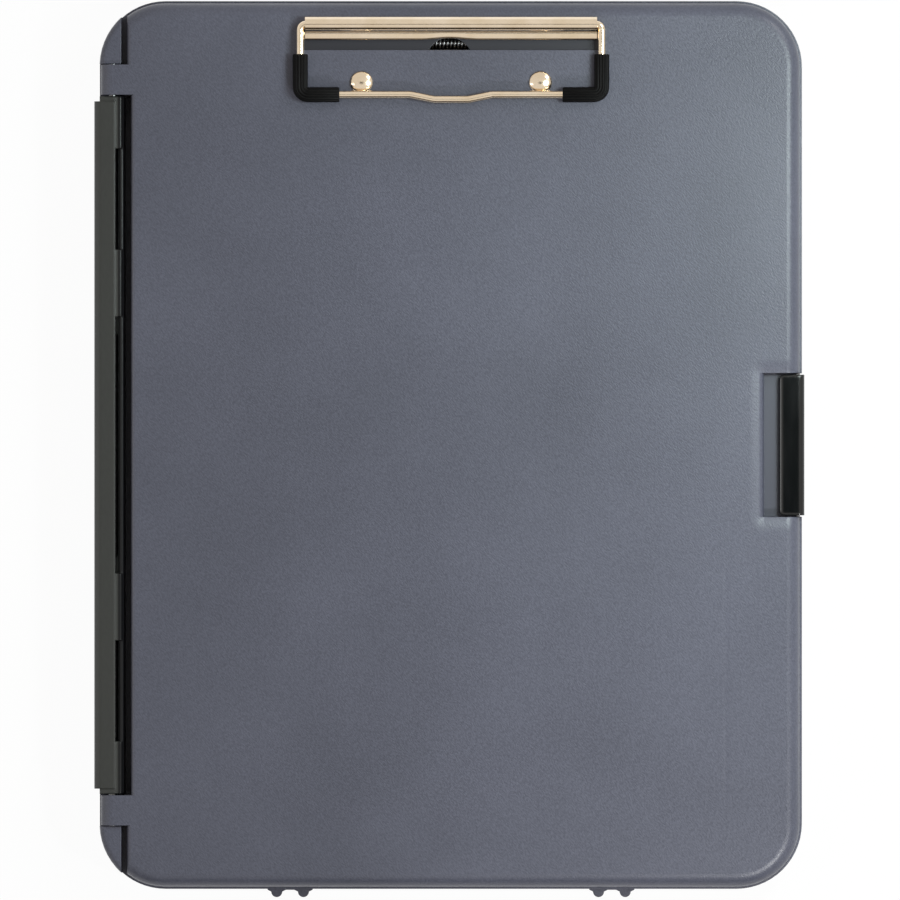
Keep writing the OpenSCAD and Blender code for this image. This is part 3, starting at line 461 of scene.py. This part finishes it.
def growPiece(name, tree, values, points, edges=(), reaches=None):  # runs a tree on points and edges
    base = bpy.data.meshes.new(name + "Base")
    base.from_pydata(points, list(edges), [])
    if reaches:
        base.attributes.new("reach", "FLOAT", "POINT").data.foreach_set("value", reaches)
    obj = bpy.data.objects.new(name, base)
    bpy.context.collection.objects.link(obj)
    grower = obj.modifiers.new("grow", "NODES")
    grower.node_group = tree
    for item in tree.interface.items_tree:
        if item.item_type == "SOCKET" and item.in_out == "INPUT" and item.name in values:
            grower[item.identifier] = values[item.name]
    bpy.context.view_layer.update()
    grown = obj.evaluated_get(bpy.context.evaluated_depsgraph_get())
    mesh = bpy.data.meshes.new_from_object(grown)
    obj.modifiers.clear()
    obj.data = mesh
    mesh.name = name
    bpy.data.meshes.remove(base)
    return obj


def sweepTree(finish):  # a round or grooved bar along the base mesh's edges
    tree, entry = nodeGroup("sweptBar", {
        "Bar Radius": "NodeSocketFloat", "Sides": "NodeSocketInt",
        "Grooves": "NodeSocketInt", "Groove Depth": "NodeSocketFloat"})
    path = addNode(tree, "GeometryNodeMeshToCurve", {"Mesh": entry.outputs["Geometry"]})
    reach = addNode(tree, "GeometryNodeInputNamedAttribute", None, {"Name": "reach"}, data_type="FLOAT")
    ring = addNode(tree, "GeometryNodeCurvePrimitiveCircle",
                   {"Resolution": entry.outputs["Sides"], "Radius": entry.outputs["Bar Radius"]})
    place = addNode(tree, "GeometryNodeInputPosition")
    along = addNode(tree, "GeometryNodeSplineParameter", out="Factor")
    turn = addNode(tree, "ShaderNodeMath", {0: along, 1: entry.outputs["Grooves"]}, operation="MULTIPLY")
    turn = addNode(tree, "ShaderNodeMath", {0: turn}, {1: 2 * math.pi}, operation="MULTIPLY")
    bulge = addNode(tree, "ShaderNodeMath", {0: turn}, operation="COSINE")
    bulge = addNode(tree, "ShaderNodeMath", {0: bulge}, operation="ABSOLUTE")
    bulge = addNode(tree, "ShaderNodeMath", {0: bulge}, {1: -1.0}, operation="ADD")
    bulge = addNode(tree, "ShaderNodeMath", {0: bulge, 1: entry.outputs["Groove Depth"]},
                    operation="MULTIPLY")
    outward = addNode(tree, "ShaderNodeVectorMath", {0: place}, operation="NORMALIZE")
    shift = addNode(tree, "ShaderNodeVectorMath", {0: outward, "Scale": bulge}, operation="SCALE")
    ring = addNode(tree, "GeometryNodeSetPosition", {"Geometry": ring, "Offset": shift})
    bar = addNode(tree, "GeometryNodeCurveToMesh", {"Curve": path, "Profile Curve": ring, "Scale": reach},
                  {"Fill Caps": True})
    closeTree(tree, bar, finish)
    return tree


def springTree(finish):  # a helix of round wire about X
    tree, entry = nodeGroup("woundSpring", {
        "Turns": "NodeSocketFloat", "Coil Radius": "NodeSocketFloat",
        "Coil Length": "NodeSocketFloat", "Wire Radius": "NodeSocketFloat"})
    coil = addNode(tree, "GeometryNodeCurveSpiral",
                   {"Rotations": entry.outputs["Turns"], "Start Radius": entry.outputs["Coil Radius"],
                    "End Radius": entry.outputs["Coil Radius"], "Height": entry.outputs["Coil Length"]},
                   {"Resolution": 32})
    turned = addNode(tree, "GeometryNodeTransform", {"Geometry": coil}, {"Rotation": (0, math.pi / 2, 0)})
    ring = addNode(tree, "GeometryNodeCurvePrimitiveCircle", {"Radius": entry.outputs["Wire Radius"]},
                   {"Resolution": 12})
    wire = addNode(tree, "GeometryNodeCurveToMesh", {"Curve": turned, "Profile Curve": ring},
                   {"Fill Caps": True})
    copies = addNode(tree, "GeometryNodeInstanceOnPoints",
                     {"Points": entry.outputs["Geometry"], "Instance": wire})
    closeTree(tree, copies, finish)
    return tree


def turnedDisc(tree, radius, height, middle):  # a plain cylinder, its middle at the given height
    disc = addNode(tree, "GeometryNodeMeshCylinder", {"Radius": radius, "Depth": height}, {"Vertices": 48})
    lift = addNode(tree, "ShaderNodeCombineXYZ", {"Z": middle})
    return addNode(tree, "GeometryNodeTransform", {"Geometry": disc, "Translation": lift})


def rivetTree(finish):  # on every base point a domed head from a fine half ball, a shank and a formed tail
    labels = ("Head Radius", "Head Height", "Edge Height", "Shank Radius", "Grip",
              "Tail Radius", "Tail Height")
    tree, entry = nodeGroup("domedRivets", {label: "NodeSocketFloat" for label in labels})
    ball = addNode(tree, "GeometryNodeMeshUVSphere", None, {"Segments": 64, "Rings": 48, "Radius": 1.0})
    place = addNode(tree, "GeometryNodeInputPosition")
    split = addNode(tree, "ShaderNodeSeparateXYZ", {0: place}).node
    above = addNode(tree, "ShaderNodeMath", {0: split.outputs["Z"]}, {1: 0.0}, operation="GREATER_THAN")
    dome = addNode(tree, "ShaderNodeMath", {0: split.outputs["Z"], 1: entry.outputs["Head Height"]},
                   operation="MULTIPLY")
    dome = addNode(tree, "ShaderNodeMath", {0: dome, 1: above}, operation="MULTIPLY")
    below = addNode(tree, "ShaderNodeMath", {0: split.outputs["Z"]}, {1: -40.0}, operation="MULTIPLY",
                    use_clamp=True)  # flattens the lower half into a thin straight edge
    edge = addNode(tree, "ShaderNodeMath", {0: below, 1: entry.outputs["Edge Height"]}, operation="MULTIPLY")
    rise = addNode(tree, "ShaderNodeMath", {0: dome, 1: edge}, operation="SUBTRACT")
    across = addNode(tree, "ShaderNodeMath", {0: split.outputs["X"], 1: entry.outputs["Head Radius"]},
                     operation="MULTIPLY")
    along = addNode(tree, "ShaderNodeMath", {0: split.outputs["Y"], 1: entry.outputs["Head Radius"]},
                    operation="MULTIPLY")
    spot = addNode(tree, "ShaderNodeCombineXYZ", {"X": across, "Y": along, "Z": rise})
    head = addNode(tree, "GeometryNodeSetPosition", {"Geometry": ball, "Position": spot})
    head = addNode(tree, "GeometryNodeSetShadeSmooth", {0: head}, {"Shade Smooth": True})
    halfGrip = addNode(tree, "ShaderNodeMath", {0: entry.outputs["Grip"]}, {1: -0.5}, operation="MULTIPLY")
    shank = turnedDisc(tree, entry.outputs["Shank Radius"], entry.outputs["Grip"], halfGrip)
    halfTail = addNode(tree, "ShaderNodeMath", {0: entry.outputs["Tail Height"]}, {1: -0.5},
                       operation="MULTIPLY")
    tailMiddle = addNode(tree, "ShaderNodeMath", {0: halfTail, 1: entry.outputs["Grip"]},
                         operation="SUBTRACT")
    tail = turnedDisc(tree, entry.outputs["Tail Radius"], entry.outputs["Tail Height"], tailMiddle)
    joined = tree.nodes.new("GeometryNodeJoinGeometry")
    for part in (head, shank, tail):
        tree.links.new(part, joined.inputs[0])
    copies = addNode(tree, "GeometryNodeInstanceOnPoints",
                     {"Points": entry.outputs["Geometry"], "Instance": joined.outputs[0]})
    closeTree(tree, copies, finish)
    return tree


def roundPath(corners, radius, steps):  # points of a flat path with rounded corners
    points = [Vector(corners[0])]
    for before, corner, after in zip(corners, corners[1:], corners[2:]):
        corner = Vector(corner)
        back = (Vector(before) - corner).normalized()
        on = (Vector(after) - corner).normalized()
        bend = math.pi - back.angle(on)
        cut = radius * math.tan(bend / 2)
        inward = (back + on).normalized()
        centre = corner + inward * radius / math.cos(bend / 2)
        first = corner + back * cut
        side = (first - centre).normalized()
        other = ((corner + on * cut) - centre).normalized()
        for k in range(steps + 1):
            share = k / steps
            arm = (side * math.sin((1 - share) * bend) + other * math.sin(share * bend)) / math.sin(bend)
            points.append(centre + arm * radius)
    points.append(Vector(corners[-1]))
    return points


def chain(count):  # edges from each point to the next
    return [(i, i + 1) for i in range(count - 1)]


# bail and sleeves: one bent wire, with a grooved sleeve pushed over each corner

bail = {"axleY": 160.15, "height": 31.0, "armX": 57.4, "reach": 26.75, "bend": 2.2, "endX": 14.0,
        "wireRadius": 1.5, "dip": 1.8, "dipFlat": 6.5, "dipSlope": 9.0, "dipBend": 6.0}
sleeve = {"radius": 2.88, "arm": 15.4, "run": 14.9, "bend": 3.0, "grooves": 14, "grooveDepth": 0.34,
          "mouth": 0.93, "mouthLength": 0.35}


def metres(points):
    return [tuple(value * mm for value in point) for point in points]


def bailPath():
    front = bail["axleY"] - bail["reach"]
    low = front - bail["dip"]
    side = [(bail["endX"], bail["axleY"]), (bail["armX"], bail["axleY"]), (bail["armX"], front),
            (bail["dipFlat"] + bail["dipSlope"], front), (bail["dipFlat"], low)]
    corners = side + [(-x, y) for x, y in reversed(side)]
    return [(x, y, bail["height"]) for x, y in corners]


def mixedPath(corners, radii, steps):  # as roundPath, with a radius for every corner
    points = [Vector(corners[0])]
    for i, radius in enumerate(radii, start=1):
        bit = roundPath(corners[i - 1:i + 2], radius, steps)
        points += bit[1:-1]
    points.append(Vector(corners[-1]))
    return points


bars = sweepTree(nickel)
tight, gentle = bail["bend"], bail["dipBend"]
path = mixedPath(bailPath(), [tight, tight, gentle, gentle, gentle, gentle, tight, tight], 12)
wire = growPiece("bailWire", bars, {"Bar Radius": bail["wireRadius"] * mm, "Sides": 40, "Grooves": 0,
                                    "Groove Depth": 0.0}, metres(path), chain(len(path)), [1.0] * len(path))
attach(wire, "bail")
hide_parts("clip_bail")
print("bail wire bent")

sleeveBars = sweepTree(vinyl)
for side, node in ((-1, "sleeve_left"), (1, "sleeve_right")):
    front = bail["axleY"] - bail["reach"]
    corners = [(bail["armX"], front + sleeve["arm"], bail["height"]), (bail["armX"], front, bail["height"]),
               (bail["armX"] - sleeve["run"], front, bail["height"])]
    path = [Vector((side * x, y, z)) for x, y, z in roundPath(corners, sleeve["bend"], 12)]
    mouth = [path[0].lerp(path[1], sleeve["mouthLength"] / (path[1] - path[0]).length),
             path[-1].lerp(path[-2], sleeve["mouthLength"] / (path[-2] - path[-1]).length)]
    path = [path[0], mouth[0]] + path[1:-1] + [mouth[1], path[-1]]
    reaches = [sleeve["mouth"]] + [1.0] * (len(path) - 2) + [sleeve["mouth"]]
    tube = growPiece("ribbedSleeve" + ("Left" if side < 0 else "Right"), sleeveBars,
                     {"Bar Radius": sleeve["radius"] * mm, "Sides": 168, "Grooves": sleeve["grooves"] // 2,
                      "Groove Depth": sleeve["grooveDepth"] * mm}, metres(path), chain(len(path)), reaches)
    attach(tube, "bail")
    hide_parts(node)
print("sleeves drawn")


# spring: wound wire on its own pin, seen through the opening in the well

spring = {"y": 153.2, "z": 22.9, "turns": 10.0, "radius": 2.05, "wire": 0.45, "length": 14.0}
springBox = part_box("clip_spring")
springMiddle = [(low + high) / 2 for low, high in zip(*springBox)]
springAxis = (springMiddle[0] - spring["length"] / 2 * mm, spring["y"] * mm, spring["z"] * mm)
coil = growPiece("woundSpring", springTree(springSteel),
                 {"Turns": spring["turns"], "Coil Radius": spring["radius"] * mm,
                  "Coil Length": spring["length"] * mm, "Wire Radius": spring["wire"] * mm}, [springAxis])
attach(coil, "lid")
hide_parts("clip_spring")
print("spring wound")


# rivets: two domed heads on the lid, with their tails under the clip's plate

rivets = {"gap": 68.2, "y": 138.1, "radius": 4.4, "height": 1.9, "edge": 0.12,
          "shank": 2.0, "grip": 3.6, "tailRadius": 3.4, "tail": 1.0}
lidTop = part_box("lid")[1][2]
rivetSpots = [(side * rivets["gap"] / 2 * mm, rivets["y"] * mm, lidTop + rivets["edge"] * mm)
              for side in (-1, 1)]
heads = growPiece("domedRivets", rivetTree(nickel),
                  {"Head Radius": rivets["radius"] * mm,
                   "Head Height": (rivets["height"] - rivets["edge"]) * mm,
                   "Edge Height": rivets["edge"] * mm, "Shank Radius": rivets["shank"] * mm,
                   "Grip": (rivets["grip"] + rivets["edge"]) * mm, "Tail Radius": rivets["tailRadius"] * mm,
                   "Tail Height": rivets["tail"] * mm}, rivetSpots)
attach(heads, "lid")
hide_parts("rivet_left", "rivet_right")
print("rivets set")


# clip sheet: plate under the lid, web, roll round the bail and a crowned lip, drawn back over the spring

sheet = {"halfLength": 55.6, "thick": 1.1,
         "rollY": 160.15, "rollZ": 31.0, "outer": 2.947, "inner": 1.85, "slit": 0.7,  # the roll round the bail
         "lipFront": 154.3, "lipLow": 28.25, "lipHigh": 30.15,
         "notch": 0.6, "notchReach": 11.0, "springLeft": 0.6,  # the lip's hollow over the spring
         "plateTop": 25.5, "plateFront": 132.7, "windowHalf": 8.25, "windowFront": 150.6,
         "earRadius": 1.7, "earY": 153.2, "earZ": 22.9,
         "stations": 96, "arcSteps": 40, "lipSteps": 24, "earSteps": 16, "sharpAngle": 35}


def arcPoints(y, z, radius, start, end, steps):  # degrees from +Y towards +Z
    turns = [math.radians(start + (end - start) * k / steps) for k in range(steps + 1)]
    return [(y + radius * math.cos(turn), z + radius * math.sin(turn)) for turn in turns]


def sheetOutline(notch):  # the sheet's outline in Y and Z, from under the roll round to the web's foot
    front = sheet["rollY"] - sheet["outer"]
    back = front + sheet["thick"]
    slitY = back + sheet["slit"]
    innerEnd = -math.degrees(math.acos((slitY - sheet["rollY"]) / sheet["inner"]))
    outerStart = -math.degrees(math.acos((slitY - sheet["rollY"]) / sheet["outer"]))
    lipMiddle = (sheet["lipLow"] + sheet["lipHigh"]) / 2
    lipHalf = (sheet["lipHigh"] - sheet["lipLow"]) / 2
    lipReach = front - sheet["lipFront"] - notch
    lipTurns = [math.pi * k / sheet["lipSteps"] for k in range(sheet["lipSteps"] + 1)]
    lip = [(front - lipReach * math.sin(turn), lipMiddle + lipHalf * math.cos(turn)) for turn in lipTurns]
    foot = sheet["plateTop"] - sheet["thick"]
    bore = arcPoints(sheet["rollY"], sheet["rollZ"], sheet["inner"], 180, innerEnd, sheet["arcSteps"])
    roll = arcPoints(sheet["rollY"], sheet["rollZ"], sheet["outer"], outerStart, 180, sheet["arcSteps"] * 2)
    return [(back, foot)] + bore + roll + lip + [(front, foot)]


def loft(rings, verts, faces):  # joins equal rings into a closed skin
    at, count = len(verts), len(rings[0])
    verts += [point for ring in rings for point in metres(ring)]
    for r in range(at, at + (len(rings) - 1) * count, count):
        faces += [(r + k, r + (k + 1) % count, r + count + (k + 1) % count, r + count + k)
                  for k in range(count)]
    faces += [tuple(range(at + count - 1, at - 1, -1)), tuple(range(len(verts) - count, len(verts)))]


def clipSheet():
    verts, faces, rings = [], [], []
    for i in range(sheet["stations"] + 1):
        x = -sheet["halfLength"] + 2 * sheet["halfLength"] * i / sheet["stations"]
        away = abs(x + sheet["springLeft"]) / sheet["notchReach"]
        notch = sheet["notch"] * (math.cos(math.pi * away) + 1) / 2 if away < 1 else 0.0
        rings.append([(x, y, z) for y, z in sheetOutline(notch)])
    loft(rings, verts, faces)
    high, low = sheet["plateTop"], sheet["plateTop"] - sheet["thick"]
    start, end, edge = sheet["plateFront"], sheet["windowFront"], sheet["halfLength"]
    back = sheet["rollY"] - sheet["outer"] + sheet["thick"] / 2
    windowLeft, windowRight = (-sheet["springLeft"] + side * sheet["windowHalf"] for side in (-1, 1))
    plates = ((-edge, edge, start, end), (-edge, windowLeft, end, back), (windowRight, edge, end, back))
    for x0, x1, y0, y1 in plates:
        loft([[(x, y0, low), (x, y1, low), (x, y1, high), (x, y0, high)] for x in (x0, x1)], verts, faces)
    ear = [(sheet["earY"] + sheet["earRadius"], high), (sheet["earY"] - sheet["earRadius"], high)]
    ear += arcPoints(sheet["earY"], sheet["earZ"], sheet["earRadius"], 180, 360, sheet["earSteps"])
    for x in (windowLeft - sheet["thick"], windowRight):
        loft([[(x + step, y, z) for y, z in ear] for step in (0, sheet["thick"])], verts, faces)
    mesh = bpy.data.meshes.new("clipSheet")
    mesh.from_pydata(verts, [], faces)
    made = bmesh.new()
    made.from_mesh(mesh)
    bmesh.ops.recalc_face_normals(made, faces=made.faces)
    made.to_mesh(mesh)
    made.free()
    mesh.materials.append(nickel)
    for face in mesh.polygons:
        face.use_smooth = True
    mesh.set_sharp_from_angle(angle=math.radians(sheet["sharpAngle"]))
    obj = bpy.data.objects.new("clipSheet", mesh)
    bpy.context.collection.objects.link(obj)
    return obj


sheetPiece = clipSheet()
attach(sheetPiece, "lid")
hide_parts("clip_base")
print("clip sheet rolled")


# pieces that keep their CAD shape get their finish

finishes = {"base_tray": trayPlastic, "lid": lidPlastic, "hinge_cover": coverPlastic, "latch": latchPlastic,
            "hinge_rod": springSteel, "latch_pin": springSteel, "spring_pin": springSteel}
for nodeName, finish in finishes.items():
    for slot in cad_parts[nodeName].material_slots:
        slot.material = finish
print("frame dressed")
